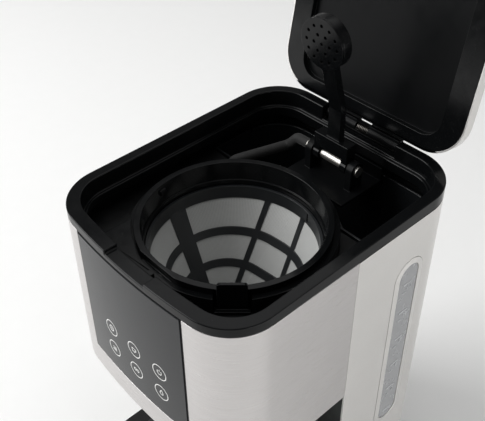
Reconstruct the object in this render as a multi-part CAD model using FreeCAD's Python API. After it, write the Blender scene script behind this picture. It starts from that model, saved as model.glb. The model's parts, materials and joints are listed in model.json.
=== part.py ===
import FreeCAD, Part
import math
import os

# Drip coffee maker with its lid open. X is right, Y is to the back, Z is up, in millimetres.
# The table is Z = 0 and the centre of the footprint is X = Y = 0.

# ---- driving dimensions ----
# an outline is (half width, front Y, back Y, corner radius, front bow radius)
BODY = (100.0, -123.8, 120.5, 39.5, 556.0)
MOUTH = (91.0, -112.6, 111.5, 30.5, 545.0)
FOOT_TOP_Z = 3.5
COVER_TOP_Z = 6.0
BASE_TOP_Z = 38.0
HEAD_FLOOR_Z = 193.0
HEAD_FLOOR_T = 2.5
SHEET_TOP_Z = 337.3
SHEET_T = 0.8
RIM_FRONT_Z = 345.0
RIM_SLOPE_DEG = 0.917
LEDGE_DEPTH = 14.3
LEDGE_WIDTH = 3.0
SKIRT_BOTTOM_Z = 325.0
SEAM_Y = 0.0
COVER_T = 2.0

BASKET_XY = (0.0, -24.1)
BASKET_TOP_Z = 329.4
TAB_HALF = 10.4
TAB_AZIMUTH = -43.0
WELL_TOP_Z = 324.0
DECK_GAP = ((-29.5, -93.1), (-15.5, -100.9), (-7.0, -103.7), (12.0, -103.7), (12.0, -60.0), (-29.5, -60.0))
PLATE_XY = (0.0, -45.0)
PLATE_R = 65.0
PLATE_TOP_Z = 40.8
BAY_R = 76.0

PANEL_X = (-57.7, 56.2)
PANEL_Z = (218.0, 336.6)
PANEL_GAP = 1.4
ICON_X = (-26.0, 2.1, 30.6)
ICON_Z = (264.5, 242.0)
ICON_R = 7.2

GAUGE_Y = 62.9
GAUGE_Z = (110.0, 295.0)
GAUGE_HALF = 11.2
GAUGE_BEZEL_HALF = 16.5
GAUGE_MARK_TOP_Z = 275.3
GAUGE_MARK_STEP = 31.2

HINGE_Y = 119.0
HINGE_Z = 342.5
HINGE_PIN_R = 1.8
NOTCH_HALF = 38.5
SPRING_X = (-6.0, 6.5)
LID_OPEN_DEG = 100.72
LID = (90.6, -230.9, -11.06, 31.0, 545.0)
LID_UNDER = -6.63
LID_TOP = 5.4
LID_SKIN_T = 1.2

ARM_Y = 84.0
ARM_Z = 330.0
ARM_TUBE_R = 4.5
ELBOW = (84.0, 377.0)
ARM_END = (66.0, 440.5)
ARM_CLOSE_DEG = 85.6
SHOWER_R = 20.0

LEDGE_Z = 305.8
FILTER_RIM_Z = 305.9
FILTER_TOP_Z = 308.5
FILTER_TURN = 5.2
# the funnel is round at its top and a short slot at its foot: (radius, half the slot's straight, Z)
MESH_TOP = (64.2, 0.05, 297.1)
MESH_FOOT = (20.3, 13.7, 224.0)
FILTER_WALL = 1.0
RUNNING = 0.05

# the origin is under the middle of the whole open machine, so every part moves by this at the end
FRAME_SHIFT_Y = -16.35


def vec(x, y, z):
    return FreeCAD.Vector(x, y, z)


X_AXIS = vec(1, 0, 0)
Y_AXIS = vec(0, 1, 0)
Z_AXIS = vec(0, 0, 1)


# ---- plain shapes ----
def box(x, y, z):
    """A box from three (low, high) pairs."""
    return Part.makeBox(x[1] - x[0], y[1] - y[0], z[1] - z[0], vec(x[0], y[0], z[0]))


def rod(radius, start, end):
    """A round bar between two points."""
    along = vec(*end) - vec(*start)
    return Part.makeCylinder(radius, along.Length, vec(*start), along)


def drum(centre, radius, z0, z1):
    """An upright round bar."""
    return rod(radius, (centre[0], centre[1], z0), (centre[0], centre[1], z1))


def washer(centre, outer, inner, z0, z1):
    return drum(centre, outer, z0, z1).cut(drum(centre, inner, z0 - 1, z1 + 1))


def turned(points, centre=(0.0, 0.0), angle=360.0, start=0.0):
    """A solid turned about an upright axis from (radius, z) points."""
    corners = [vec(r, 0, z) for r, z in points]
    face = Part.Face(Part.makePolygon(corners + corners[:1]))
    solid = face.revolve(vec(0, 0, 0), Z_AXIS, angle)
    solid.rotate(vec(0, 0, 0), Z_AXIS, start)
    solid.translate(vec(centre[0], centre[1], 0))
    return solid


def side_prism(points, x0, x1):
    """A solid from (y, z) points, thick along X."""
    corners = [vec(x0, y, z) for y, z in points]
    face = Part.Face(Part.makePolygon(corners + corners[:1]))
    return face.extrude(vec(x1 - x0, 0, 0))


def joined(shapes):
    """One solid from several that meet."""
    first, rest = shapes[0], shapes[1:]
    return first.multiFuse(rest).removeSplitter() if rest else first


def moved(shape, x, y, z):
    copy = shape.copy()
    copy.translate(vec(x, y, z))
    return copy


def shrunk(outline, inset):
    half, front, back, corner, bow = outline
    return (half - inset, front + inset, back - inset, corner - inset, bow - inset)


def outline_face(outline, z):
    """A rounded rectangle whose front side bows outward, as a flat face."""
    half, front, back, corner, bow = outline
    cx = half - corner
    bow_y = front + bow
    front_cy = bow_y - math.sqrt((bow - corner) ** 2 - cx**2)
    back_cy = back - corner
    reach = bow / (bow - corner)
    tx, ty = cx * reach, bow_y + (front_cy - bow_y) * reach
    slant = math.atan2(ty - front_cy, tx - cx) / 2

    def arc(a, b, c):
        return Part.Arc(vec(*a, z), vec(*b, z), vec(*c, z)).toShape()

    def line(a, b):
        return Part.makeLine(vec(*a, z), vec(*b, z))

    near = (corner * math.cos(slant), corner * math.sin(slant))
    far = corner * math.sqrt(0.5)
    edges = [
        arc((-tx, ty), (0, front), (tx, ty)),
        arc((tx, ty), (cx + near[0], front_cy + near[1]), (half, front_cy)),
        line((half, front_cy), (half, back_cy)),
        arc((half, back_cy), (cx + far, back_cy + far), (cx, back)),
        line((cx, back), (-cx, back)),
        arc((-cx, back), (-cx - far, back_cy + far), (-half, back_cy)),
        line((-half, back_cy), (-half, front_cy)),
        arc((-half, front_cy), (-cx - near[0], front_cy + near[1]), (-tx, ty)),
    ]
    return Part.Face(Part.Wire(edges))


def prism(outline, inset, z0, z1):
    return outline_face(shrunk(outline, inset), z0).extrude(vec(0, 0, z1 - z0))


def band(outline, outer, inner, z0, z1):
    """A wall between two insets of an outline."""
    return prism(outline, outer, z0, z1).cut(prism(outline, inner, z0 - 1, z1 + 1))


def behind(y, z0=-10.0, z1=700.0):
    return box((-300, 300), (y, 400), (z0, z1))


def before(y, z0=-10.0, z1=700.0):
    return box((-300, 300), (-400, y), (z0, z1))


def above_rim(depth):
    """Everything more than so far over the sloping top of the rim."""
    slab = box((-300, 300), (0, 500), (0, 200))
    slab.rotate(vec(0, 0, 0), X_AXIS, RIM_SLOPE_DEG)
    front = -120.5
    slab.translate(vec(0, front - 100, RIM_FRONT_Z - depth - 100 * math.tan(math.radians(RIM_SLOPE_DEG))))
    return slab


def capsule(half, y, z, x):
    """An upright slot with round ends, thick along X."""
    low, high = z[0] + half, z[1] - half
    parts = [
        box(x, (y - half, y + half), (low, high)),
        rod(half, (x[0], y, low), (x[1], y, low)),
        rod(half, (x[0], y, high), (x[1], y, high)),
    ]
    return joined(parts)


def swept(points, bend, radius):
    """A round bar along a path with rounded corners."""
    path = [vec(*p) for p in points]
    edges = []
    start = path[0]
    for before_pt, corner, after_pt in zip(path, path[1:], path[2:]):
        back = (before_pt - corner).normalize()
        on = (after_pt - corner).normalize()
        half_angle = back.getAngle(on) / 2
        cut = bend / math.tan(half_angle)
        a = corner + back * cut
        b = corner + on * cut
        inward = (back + on).normalize()
        middle = corner + inward * (bend / math.sin(half_angle) - bend)
        edges.append(Part.makeLine(start, a))
        edges.append(Part.Arc(a, middle, b).toShape())
        start = b
    edges.append(Part.makeLine(start, path[-1]))
    ring = Part.Wire([Part.makeCircle(radius, path[0], path[1] - path[0])])
    return Part.Wire(edges).makePipeShell([ring], True, False)


def hose(points, bend, outer, inner):
    return swept(points, bend, outer).cut(swept(points, bend, inner))


def coil(radius, wire, pitch, turns):
    """An upright round-wire spring on the Z axis from Z = 0."""
    helix = Part.makeHelix(pitch, pitch * turns, radius)
    ring = Part.Wire([Part.makeCircle(wire, vec(radius, 0, 0), Y_AXIS)])
    return Part.Wire(helix).makePipeShell([ring], True, True)


def put_on_lid(shape):
    """Carries a shape from the lid's own flat frame, on the hinge axis, to the open pose."""
    shape.rotate(vec(0, 0, 0), X_AXIS, -LID_OPEN_DEG)
    shape.translate(vec(0, HINGE_Y, HINGE_Z))
    return shape


parts = {}


# ---- base ----
CORD_X = 60.0
CORD_Z = 21.0
SCREW_SPOTS = [(x, y) for x in (-74.0, 74.0) for y in (-84.0, 88.0)]
FOOT_SPOTS = [(x, y) for x in (-62.0, 62.0) for y in (-92.0, 96.0)]
BAND_Z = (12.0, 33.0)
RISER_XY = (-66.0, 32.0)
RISER_HOLE_R = 4.8
STUB_X = 21.7
STUB_Z = 31.0


def make_base():
    shell = prism(BODY, 0, COVER_TOP_Z, BASE_TOP_Z)
    shell = shell.cut(prism(BODY, 2.5, COVER_TOP_Z - 1, BASE_TOP_Z - 2.5))
    shell = shell.cut(band(BODY, -1, SHEET_T + 0.1, BAND_Z[0] - 0.1, BAND_Z[1] + 0.1).common(before(SEAM_Y)))
    shell = shell.cut(drum(PLATE_XY, 62.5, 20, 50))
    shell = shell.cut(box((31.5, 48.5), (76, 94), (30, 50)))
    shell = shell.cut(drum(RISER_XY, RISER_HOLE_R, 30, 50))
    shell = shell.cut(rod(6.6, (CORD_X, 100, CORD_Z), (CORD_X, 130, CORD_Z)))
    posts = [drum(spot, 4.0, COVER_TOP_Z, BASE_TOP_Z - 2.0) for spot in SCREW_SPOTS]
    shell = joined([shell] + posts)
    for spot in SCREW_SPOTS:
        shell = shell.cut(drum(spot, 1.5, 0, 24))
    parts["base_shell"] = shell
    parts["base_band"] = band(BODY, 0, SHEET_T, *BAND_Z).common(before(SEAM_Y - 0.2))

    cover = prism(BODY, 0.6, FOOT_TOP_Z, COVER_TOP_Z)
    for spot in SCREW_SPOTS:
        cover = cover.cut(drum(spot, 1.8, 0, 10)).cut(drum(spot, 3.4, 0, FOOT_TOP_Z + 1.4))
    for row in range(7):
        y = -75.0 + row * 9.0
        cover = cover.cut(box((-38, -4), (y, y + 3), (0, 10))).cut(box((4, 38), (y, y + 3), (0, 10)))
    parts["bottom_cover"] = cover
    screws = []
    for spot in SCREW_SPOTS:
        screws.append(joined([drum(spot, 3.0, FOOT_TOP_Z + 0.2, FOOT_TOP_Z + 1.4), drum(spot, 1.4, 4.0, 20)]))
    parts["cover_screws"] = Part.makeCompound(screws)
    foot = [(0, 0), (8.5, 0), (9.5, 1.2), (9.5, FOOT_TOP_Z), (0, FOOT_TOP_Z)]
    parts["rubber_feet"] = Part.makeCompound([turned(foot, spot) for spot in FOOT_SPOTS])

    gland = joined([rod(6.4, (CORD_X, 116, CORD_Z), (CORD_X, 121, CORD_Z)),
                    rod(8.2, (CORD_X, 120.6, CORD_Z), (CORD_X, 122.4, CORD_Z)),
                    rod(8.2, (CORD_X, 114.5, CORD_Z), (CORD_X, 116.8, CORD_Z))])
    parts["cord_gland"] = gland.cut(rod(3.6, (CORD_X, 100, CORD_Z), (CORD_X, 130, CORD_Z)))


def make_heater():
    plate = [(0, 38.8), (PLATE_R, 38.8), (PLATE_R, PLATE_TOP_Z), (PLATE_R - 3, PLATE_TOP_Z),
             (PLATE_R - 4.5, PLATE_TOP_Z - 0.5), (0, PLATE_TOP_Z - 0.5)]
    parts["hot_plate"] = turned(plate, PLATE_XY)
    ring = [(62.6, BASE_TOP_Z), (70, BASE_TOP_Z), (70, 39.6), (68.6, 40.6), (PLATE_R + 0.2, 40.6),
            (PLATE_R + 0.2, 38.7), (62.6, 38.7)]
    parts["plate_seal"] = turned(ring, PLATE_XY)

    gap = 25.0
    pieces = [turned([(34, 36.0), (55, 36.0), (55, 38.7), (34, 38.7)], PLATE_XY, 360 - 2 * gap, 90 + gap)]
    for radius in (40.0, 49.0):
        section = [(radius - 4, 30), (radius - 2, 27.5), (radius + 2, 27.5), (radius + 4, 30),
                   (radius + 4, 36.2), (radius - 4, 36.2)]
        pieces.append(turned(section, PLATE_XY, 360 - 2 * gap, 90 + gap))
    for side in (-1, 1):
        angle = math.radians(90 + side * gap)
        end_x, end_y = PLATE_XY[0] + 40.0 * math.cos(angle), PLATE_XY[1] + 40.0 * math.sin(angle)
        along = (math.cos(angle + side * math.pi / 2), math.sin(angle + side * math.pi / 2))
        pieces.append(rod(1.6, (end_x, end_y, STUB_Z), (end_x - along[0] * 10, end_y - along[1] * 10, STUB_Z)))
        pieces.append(rod(2.8, (-side * STUB_X, -2, STUB_Z), (-side * STUB_X, 14, STUB_Z)))
    parts["heating_element"] = joined(pieces)
    parts["thermostat"] = joined([drum((0, -45), 8.5, 30, 38.7), drum((0, -45), 6, 25, 30),
                                  box((-11, 11), (-46, -44), (29, 30))])
    fuse = joined([rod(2.2, (-9, -68, 35.5), (9, -68, 35.5)), box((-3.5, 3.5), (-71, -65), (36, 38.7))])
    parts["thermal_fuse"] = fuse

    board = [box((-40, 40), (64, 108), (10, 11.6)), box((-32, -14), (72, 92), (11.6, 26)),
             rod(6, (2, 84, 11.6), (2, 84, 28)), box((14, 34), (70, 80), (11.6, 22))]
    posts = [drum((x, y), 3, COVER_TOP_Z, 10) for x in (-36, 36) for y in (68, 104)]
    parts["power_board"] = joined(board)
    parts["board_posts"] = Part.makeCompound(posts)


# ---- column and head ----
def make_column():
    region = prism(BODY, COVER_T, BASE_TOP_Z, HEAD_FLOOR_Z).common(behind(SEAM_Y + 0.6))
    face = box((-100, 100), (0, 3.2), (0, 300)).fuse(drum(PLATE_XY, BAY_R + 2.6, 0, 300))
    parts["bay_wall"] = region.common(face).cut(drum(PLATE_XY, BAY_R, 0, 300))

    cover = band(BODY, 0, COVER_T, BASE_TOP_Z, SHEET_TOP_Z - 0.2).common(behind(SEAM_Y + 0.2))
    cover = cover.cut(capsule(GAUGE_BEZEL_HALF + 0.1, GAUGE_Y, (GAUGE_Z[0] - 5.4, GAUGE_Z[1] + 5.4), (90, 110)))
    for row in range(6):
        z = 60.0 + row * 8.0
        cover = cover.cut(box((-28, 28), (110, 130), (z, z + 3)))
    parts["rear_cover"] = cover

    span = (GAUGE_Z[0] - 5.3, GAUGE_Z[1] + 5.3)
    bezel = capsule(GAUGE_BEZEL_HALF, GAUGE_Y, span, (98.2, 100.7))
    bezel = bezel.cut(capsule(GAUGE_HALF, GAUGE_Y, GAUGE_Z, (90, 110)))
    lip = capsule(GAUGE_BEZEL_HALF - 1.2, GAUGE_Y, (span[0] + 1.2, span[1] - 1.2), (100.3, 102))
    lip = lip.cut(capsule(GAUGE_HALF + 1.6, GAUGE_Y, (GAUGE_Z[0] - 1.6, GAUGE_Z[1] + 1.6), (90, 110)))
    parts["gauge_bezel"] = bezel.cut(lip)
    window = capsule(GAUGE_HALF - 0.1, GAUGE_Y, (GAUGE_Z[0] + 0.1, GAUGE_Z[1] - 0.1), (98.2, 99.9))
    flange = capsule(GAUGE_HALF + 2.5, GAUGE_Y, (GAUGE_Z[0] - 2.5, GAUGE_Z[1] + 2.5), (96.9, 98.2))
    parts["gauge_window"] = window.fuse(flange).removeSplitter()
    marks = []
    for step in range(6):
        z = GAUGE_MARK_TOP_Z - step * GAUGE_MARK_STEP
        marks.append(box((99.9, 100.2), (GAUGE_Y - 5, GAUGE_Y + 5), (z - 0.7, z + 0.7)))
        if step < 5:
            marks.append(box((99.9, 100.2), (GAUGE_Y - 5, GAUGE_Y - 1), (z - 9.2, z - 8.2)))
    parts["gauge_marks"] = Part.makeCompound(marks)


def make_head():
    floor = prism(BODY, SHEET_T + 0.1, HEAD_FLOOR_Z, HEAD_FLOOR_Z + HEAD_FLOOR_T).common(before(SEAM_Y - 0.1))
    inner = prism(BODY, COVER_T, HEAD_FLOOR_Z, HEAD_FLOOR_Z + HEAD_FLOOR_T)
    floor = floor.fuse(inner.common(before(38.5)).common(behind(SEAM_Y - 1)))
    wall = band(BODY, SHEET_T + 0.1, 2.9, HEAD_FLOOR_Z, SKIRT_BOTTOM_Z - 0.2).common(before(SEAM_Y - 0.1))
    wall = wall.cut(box((-56, 50), (-130, -100), (218, 330)))
    posts = [rod(3.0, (x, -119.3, z), (x, -112.5, z)) for x in (-58.6, 52.6) for z in (222.0, 298.0)]
    shell = joined([floor, wall] + posts)
    parts["head_shell"] = shell.cut(drum(BASKET_XY, 21.0, 180, 200)).cut(drum(RISER_XY, RISER_HOLE_R, 180, 200))

    wrap = band(BODY, 0, SHEET_T, HEAD_FLOOR_Z + 0.2, SHEET_TOP_Z).common(before(SEAM_Y - 0.2))
    gap = PANEL_GAP + 0.1
    opening = box((PANEL_X[0] - gap, PANEL_X[1] + gap), (-140, -100), (PANEL_Z[0] - gap, 340))
    parts["steel_wrap"] = wrap.cut(opening)
    zone = box(PANEL_X, (-140, -100), PANEL_Z)
    parts["control_panel"] = band(BODY, -0.5, SHEET_T, 200, 340).common(zone)
    gap = PANEL_GAP
    frame_zone = box((PANEL_X[0] - gap, PANEL_X[1] + gap), (-140, -100), (PANEL_Z[0] - gap, SHEET_TOP_Z - 0.1))
    parts["panel_trim"] = band(BODY, 0.3, SHEET_T, 200, 340).common(frame_zone).cut(zone)

    icons = []
    film = band(BODY, -0.65, -0.5, 200, 340).common(before(-100))
    for z in ICON_Z:
        for x in ICON_X:
            ring = rod(ICON_R, (x, -140, z), (x, -100, z)).cut(rod(ICON_R - 0.55, (x, -141, z), (x, -99, z)))
            dash = box((x - 2.4, x + 2.4), (-140, -100), (z - 0.4, z + 0.4))
            icons += [ring.common(film), dash.common(film)]
    parts["touch_icons"] = Part.makeCompound(icons)

    parts["control_board"] = joined([box((-62, 56), (-112.4, -110.8), (216, 306)),
                                     box((-20, -4), (-110.8, -108.6), (255, 270)),
                                     box((20, 44), (-110.8, -107.4), (224, 232))])
    parts["display_module"] = box((-30, 32), (-121.6, -112.6), (274, 304))


def make_rim():
    rim = joined([prism(BODY, 0, SHEET_TOP_Z, 352), prism(BODY, 3.2, SKIRT_BOTTOM_Z, SHEET_TOP_Z + 1)])
    rim = rim.cut(above_rim(0))
    rim = rim.cut(prism(MOUTH, 0, 300, 360).common(above_rim(LEDGE_DEPTH)))
    rim = rim.cut(prism(MOUTH, LEDGE_WIDTH, 300, 360))
    recess = box((-20.7, 22.1), (-130, -100), (RIM_FRONT_Z - 3, 360))
    rim = rim.cut(recess)
    knuckles = [rod(4.6, (side * NOTCH_HALF, HINGE_Y, HINGE_Z), (side * 50, HINGE_Y, HINGE_Z)) for side in (-1, 1)]
    rim = joined([rim] + knuckles)
    rim = rim.cut(box((-NOTCH_HALF, NOTCH_HALF), (104, 130), (336.6, 360)))
    pin = rod(HINGE_PIN_R + 0.01, (-49, HINGE_Y, HINGE_Z), (49, HINGE_Y, HINGE_Z))
    parts["top_rim"] = rim.cut(pin)
    parts["hinge_pin"] = rod(HINGE_PIN_R, (-48.5, HINGE_Y, HINGE_Z), (48.5, HINGE_Y, HINGE_Z))
    spring = coil(3.1, 0.55, 1.5, 7)
    spring.rotate(vec(0, 0, 0), Y_AXIS, 90)
    parts["lid_spring"] = moved(spring, SPRING_X[0] + 1.0, HINGE_Y, HINGE_Z)


def make_deck():
    top = RIM_FRONT_Z - LEDGE_DEPTH
    zone = box((-50.5, 7), (-130, -60), (300, 340))
    plate = prism(MOUTH, LEDGE_WIDTH, top - 2.5, top).common(zone).cut(drum(BASKET_XY, 75.4, 300, 340))
    lug = box((3.0, 8.5), (-108.5, -104.0), (top - 4, top + 1.6))
    neck = washer(BASKET_XY, 78.5, 75.4, WELL_TOP_Z, top - 2.4).common(zone)
    corners = [vec(x, y, 300) for x, y in DECK_GAP]
    gap = Part.Face(Part.makePolygon(corners + corners[:1])).extrude(vec(0, 0, 60))
    parts["brew_deck"] = joined([plate.cut(gap), lug, neck.cut(gap)])

    well = washer(BASKET_XY, 78.5, 76.4, HEAD_FLOOR_Z + HEAD_FLOOR_T, WELL_TOP_Z - 2.4)
    seat = washer(BASKET_XY, 78.5, 72.2, WELL_TOP_Z - 2.4, WELL_TOP_Z)
    slot = box((70, 80.2), (-TAB_HALF - 2.6, TAB_HALF + 2.6), (311.0, 340))
    slot.rotate(vec(0, 0, 0), Z_AXIS, TAB_AZIMUTH)
    slot = moved(slot, BASKET_XY[0], BASKET_XY[1], 0)
    parts["brew_well"] = well.cut(slot)
    parts["basket_seat"] = seat.cut(slot)
    shelf = prism(BODY, 3.2, 308.5, 311.0).common(before(38.5)).cut(drum(BASKET_XY, 78.6, 300, 320))
    parts["well_shelf"] = shelf.cut(drum(RISER_XY, RISER_HOLE_R, 200, 330))


def make_tank():
    walls = drum(BASKET_XY, 80.5, 0, 400)
    tank = prism(BODY, 3.4, 60, 312).common(behind(40)).cut(walls)
    void = prism(BODY, 5.4, 62, 330).common(behind(42)).cut(drum(BASKET_XY, 82.5, 0, 400))
    spout = drum((40, 85), 5.5, 50, 61)
    tank = joined([tank.cut(void), spout])
    parts["water_tank"] = tank.cut(drum((40, 85), 3.4, 40, 70))
    parts["tank_seat"] = box((-30, 30), (62, 104), (BASE_TOP_Z, 60)).cut(box((-27, 27), (60, 101), (30, 57)))
    valve = joined([drum((40, 85), 7, 41, 49.5), drum((40, 85), 4.6, 36, 42)])
    parts["check_valve"] = valve.cut(drum((40, 85), 2.6, 30, 60))
    feed = [(40, 85, 35.5), (40, 85, 22), (40, 44, 22), (STUB_X, 28, STUB_Z), (STUB_X, 4, STUB_Z)]
    parts["feed_hose"] = hose(feed, 6, 4.2, 2.9)
    x, y = RISER_XY
    riser = [(-STUB_X, 4, STUB_Z), (-STUB_X, 24, STUB_Z), (x, y, 24), (x, y, 318), (-50, 84, 318), (-40, 84, 330),
             (-27.5, 84, 330)]
    parts["riser_hose"] = hose(riser, 6, 4.2, 2.9)


# ---- water arm ----
def make_arm():
    shelf = box((-32, 32), (59.5, 108.3), (310.5, 313))
    back_plate = box((-32, 32), (106.3, 108.3), (313, 324.8))
    lugs = []
    for side in (-1, 1):
        x0, x1 = sorted((side * 18.5, side * 25.0))
        lugs.append(box((x0, x1), (ARM_Y - 7, ARM_Y + 7), (313, ARM_Z)))
        lugs.append(rod(7, (x0, ARM_Y, ARM_Z), (x1, ARM_Y, ARM_Z)))
    bracket = joined([shelf, back_plate] + lugs)
    bore = rod(ARM_TUBE_R + 0.01, (-30, ARM_Y, ARM_Z), (30, ARM_Y, ARM_Z))
    parts["arm_bracket"] = bracket.cut(bore)
    tube = rod(ARM_TUBE_R, (-27, ARM_Y, ARM_Z), (27, ARM_Y, ARM_Z))
    parts["pivot_tube"] = tube.cut(rod(3.2, (-28, ARM_Y, ARM_Z), (25, ARM_Y, ARM_Z)))

    half, under = 3.5, 2.6
    upper = (ARM_END[0] - ELBOW[0], ARM_END[1] - ELBOW[1])
    length = math.hypot(*upper)
    side = (upper[1] / length * half, -upper[0] / length * half)
    beam = side_prism([(ARM_Y - under, ARM_Z + 9), (ARM_Y + half, ARM_Z + 9), (ELBOW[0] + half, ELBOW[1]),
                       (ARM_END[0] + side[0], ARM_END[1] + side[1]), (ARM_END[0] - side[0], ARM_END[1] - side[1]),
                       (ELBOW[0] - under, ELBOW[1])], -6.5, 6.5)
    yoke = box((-17.5, 17.5), (ARM_Y - 5, ARM_Y + 5), (ARM_Z + 7.5, ARM_Z + 20))
    cheeks = []
    for sign in (-1, 1):
        x0, x1 = sorted((sign * 11.3, sign * 17.5))
        cheeks.append(rod(6.5, (x0, ARM_Y, ARM_Z), (x1, ARM_Y, ARM_Z)))
        cheeks.append(box((x0, x1), (ARM_Y - 5, ARM_Y + 5), (ARM_Z, ARM_Z + 9)))
    angle = math.radians(ARM_CLOSE_DEG)
    out = (-math.sin(angle), -math.cos(angle))

    def on_axis(distance):
        return (0, ARM_END[0] + out[0] * distance, ARM_END[1] + out[1] * distance)

    cup = rod(SHOWER_R, on_axis(-5), on_axis(3)).cut(rod(SHOWER_R - 1.8, on_axis(-3), on_axis(4)))
    collar = rod(SHOWER_R - 6, on_axis(-8), on_axis(-4.5))
    arm = joined([beam, yoke, cup, collar] + cheeks)
    arm = arm.cut(rod(SHOWER_R - 1.8, on_axis(-3), on_axis(10)))
    arm = arm.cut(rod(ARM_TUBE_R + RUNNING, (-30, ARM_Y, ARM_Z), (30, ARM_Y, ARM_Z)))
    arm = arm.cut(box((-2.5, 2.5), (ARM_Y - 1.5, ARM_Y + 1.5), (ARM_Z, ELBOW[1])))
    parts["water_arm"] = arm

    plate = joined([rod(SHOWER_R - 2.0, on_axis(-1), on_axis(3.6)), rod(SHOWER_R, on_axis(3.05), on_axis(5))])
    plate = plate.cut(rod(SHOWER_R - 4.0, on_axis(-2), on_axis(3)))
    across = (out[1], -out[0])
    holes = [(0.0, 0.0)]
    for count, radius in ((6, 7.4), (12, 14.4)):
        for k in range(count):
            turn = 2 * math.pi * k / count
            holes.append((radius * math.cos(turn), radius * math.sin(turn)))
    for u, v in holes:
        shift = vec(u, across[0] * v, across[1] * v)
        hole = rod(1.25, on_axis(-4), on_axis(8))
        hole.translate(shift)
        plate = plate.cut(hole)
    parts["shower_plate"] = plate


# ---- lid ----
def make_lid():
    skin = prism(LID, 0, LID_UNDER, LID_TOP)
    top_edges = [e for e in skin.Edges if all(abs(v.Z - LID_TOP) < 0.01 for v in e.Vertexes)]
    skin = skin.makeFillet(3.2, top_edges)
    skin = skin.cut(prism(LID, LID_SKIN_T, LID_UNDER - 1, LID_TOP - LID_SKIN_T))
    skin = skin.cut(box((-37.6, 37.6), (-16, 0), (0.4, 4.15)))
    parts["lid_skin"] = put_on_lid(skin)

    dish = (70.5, -211.0, -23.2, 16.0, 545.0)
    liner = prism(LID, LID_SKIN_T + 0.2, LID_UNDER, 0.6)
    hollow = prism(LID, LID_SKIN_T + 2.4, LID_UNDER + 2.2, 2).cut(prism(dish, -2.0, LID_UNDER - 1, 3))
    liner = liner.cut(hollow).cut(prism(dish, 0, LID_UNDER - 1, LID_UNDER + 5.0))
    parts["lid_liner"] = put_on_lid(liner)

    leaf = [box((-37.2, 37.2), (-44, -3), (0.8, 3.9)), rod(4.0, (-37.4, 0, 0), (37.4, 0, 0)),
            box((-37.4, 37.4), (-6, 0), (-2.5, 3.9))]
    leaf = joined(leaf).cut(box(SPRING_X, (-8.5, 6), (-6, 6)))
    leaf = leaf.cut(rod(HINGE_PIN_R + RUNNING, (-40, 0, 0), (40, 0, 0)))
    parts["lid_leaf"] = put_on_lid(leaf)
    screws = []
    for x in (-30.0, 30.0):
        for y in (-36.0, -20.0):
            screws.append(rod(2.4, (x, y, 3.9), (x, y, 4.2)))
    parts["leaf_screws"] = put_on_lid(Part.makeCompound(screws))


# ---- basket and filter ----
def make_basket():
    body = [(74, BASKET_TOP_Z), (74, WELL_TOP_Z), (71.2, WELL_TOP_Z), (70.9, 315), (64.6, 222), (15, 205.5),
            (10.5, 205.5), (10.5, 191.5), (7.2, 191.5), (7.2, 208.5), (14, 208.5), (62.4, 224.5), (66.0, 290.0),
            (66.0, LEDGE_Z), (67.0, LEDGE_Z), (67.2, 313.0), (68.3, 313.0), (69.0, BASKET_TOP_Z)]
    basket = turned(body, BASKET_XY)
    basket = basket.cut(box((-40, 40), (-120, -95.8), (WELL_TOP_Z + 0.01, 340)))
    tab = [box((71.4, 74.4), (-TAB_HALF, TAB_HALF), (324.1, 329.3)), box((74.0, 76.6), (-TAB_HALF, TAB_HALF), (311.6, 337.0)),
           box((74.0, 79.6), (-TAB_HALF - 2, TAB_HALF + 2), (311.6, 314.0))]
    tab = joined(tab)
    corners = [e for e in tab.Edges if abs(e.Vertexes[0].Z - e.Vertexes[-1].Z) < 0.01
               and min(v.Z for v in e.Vertexes) > 336.9 and abs(abs(e.CenterOfMass.y) - TAB_HALF) < 0.01]
    tab = tab.makeFillet(2.2, corners)
    tab.rotate(vec(0, 0, 0), Z_AXIS, TAB_AZIMUTH)
    tab.translate(vec(BASKET_XY[0], BASKET_XY[1], 0))
    lugs = [turned([(67.0, 321), (68.9, 321), (68.9, 326), (67.0, 325)], BASKET_XY, 5, a) for a in (24.0, 34.0, 190.0)]
    parts["brew_basket"] = joined([basket, tab] + lugs)

    cage = turned([(9.5, 208.5), (13.2, 208.5), (13.2, 220.5), (0, 220.5), (0, 219.2), (12.0, 219.2), (12.0, 210),
                   (9.5, 210)], BASKET_XY)
    for k in range(4):
        slot = box((-20, 20), (-1.5, 1.5), (211, 218))
        slot.rotate(vec(0, 0, 0), Z_AXIS, 45 * k)
        cage = cage.cut(moved(slot, BASKET_XY[0], BASKET_XY[1], 0))
    parts["valve_cage"] = cage
    stem = joined([drum(BASKET_XY, 2.6, 189.6, 213), drum(BASKET_XY, 9.0, 211.6, 213.2),
                   drum(BASKET_XY, 4.4, 188.6, 191.0)])
    parts["drip_valve"] = stem
    parts["valve_seal"] = washer(BASKET_XY, 9.0, 7.4, 210.2, 211.5).fuse(washer(BASKET_XY, 9.3, 7.4, 208.6, 210.3))
    spring = coil(4.2, 0.55, 1.5, 3)
    parts["drip_spring"] = moved(spring, BASKET_XY[0], BASKET_XY[1], 213.7)


def slot_wire(radius, reach, z):
    """A level slot with round ends, as a wire."""

    def at(x, y):
        return vec(x, y, z)

    return Part.Wire([
        Part.makeLine(at(-reach, -radius), at(reach, -radius)),
        Part.Arc(at(reach, -radius), at(reach + radius, 0), at(reach, radius)).toShape(),
        Part.makeLine(at(reach, radius), at(-reach, radius)),
        Part.Arc(at(-reach, radius), at(-reach - radius, 0), at(-reach, -radius)).toShape(),
    ])


def funnel(inner, outer, z0, z1):
    """A slice of the filter's funnel wall between two heights, from one skin to another."""
    skins = []
    for skin in (outer, inner):
        ends = [slot_wire(end[0] + skin, end[1], end[2]) for end in (MESH_FOOT, MESH_TOP)]
        skins.append(Part.makeLoft(ends, True, True))
    return skins[0].cut(skins[1]).common(box((-90, 90), (-90, 90), (z0, z1)))


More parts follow.
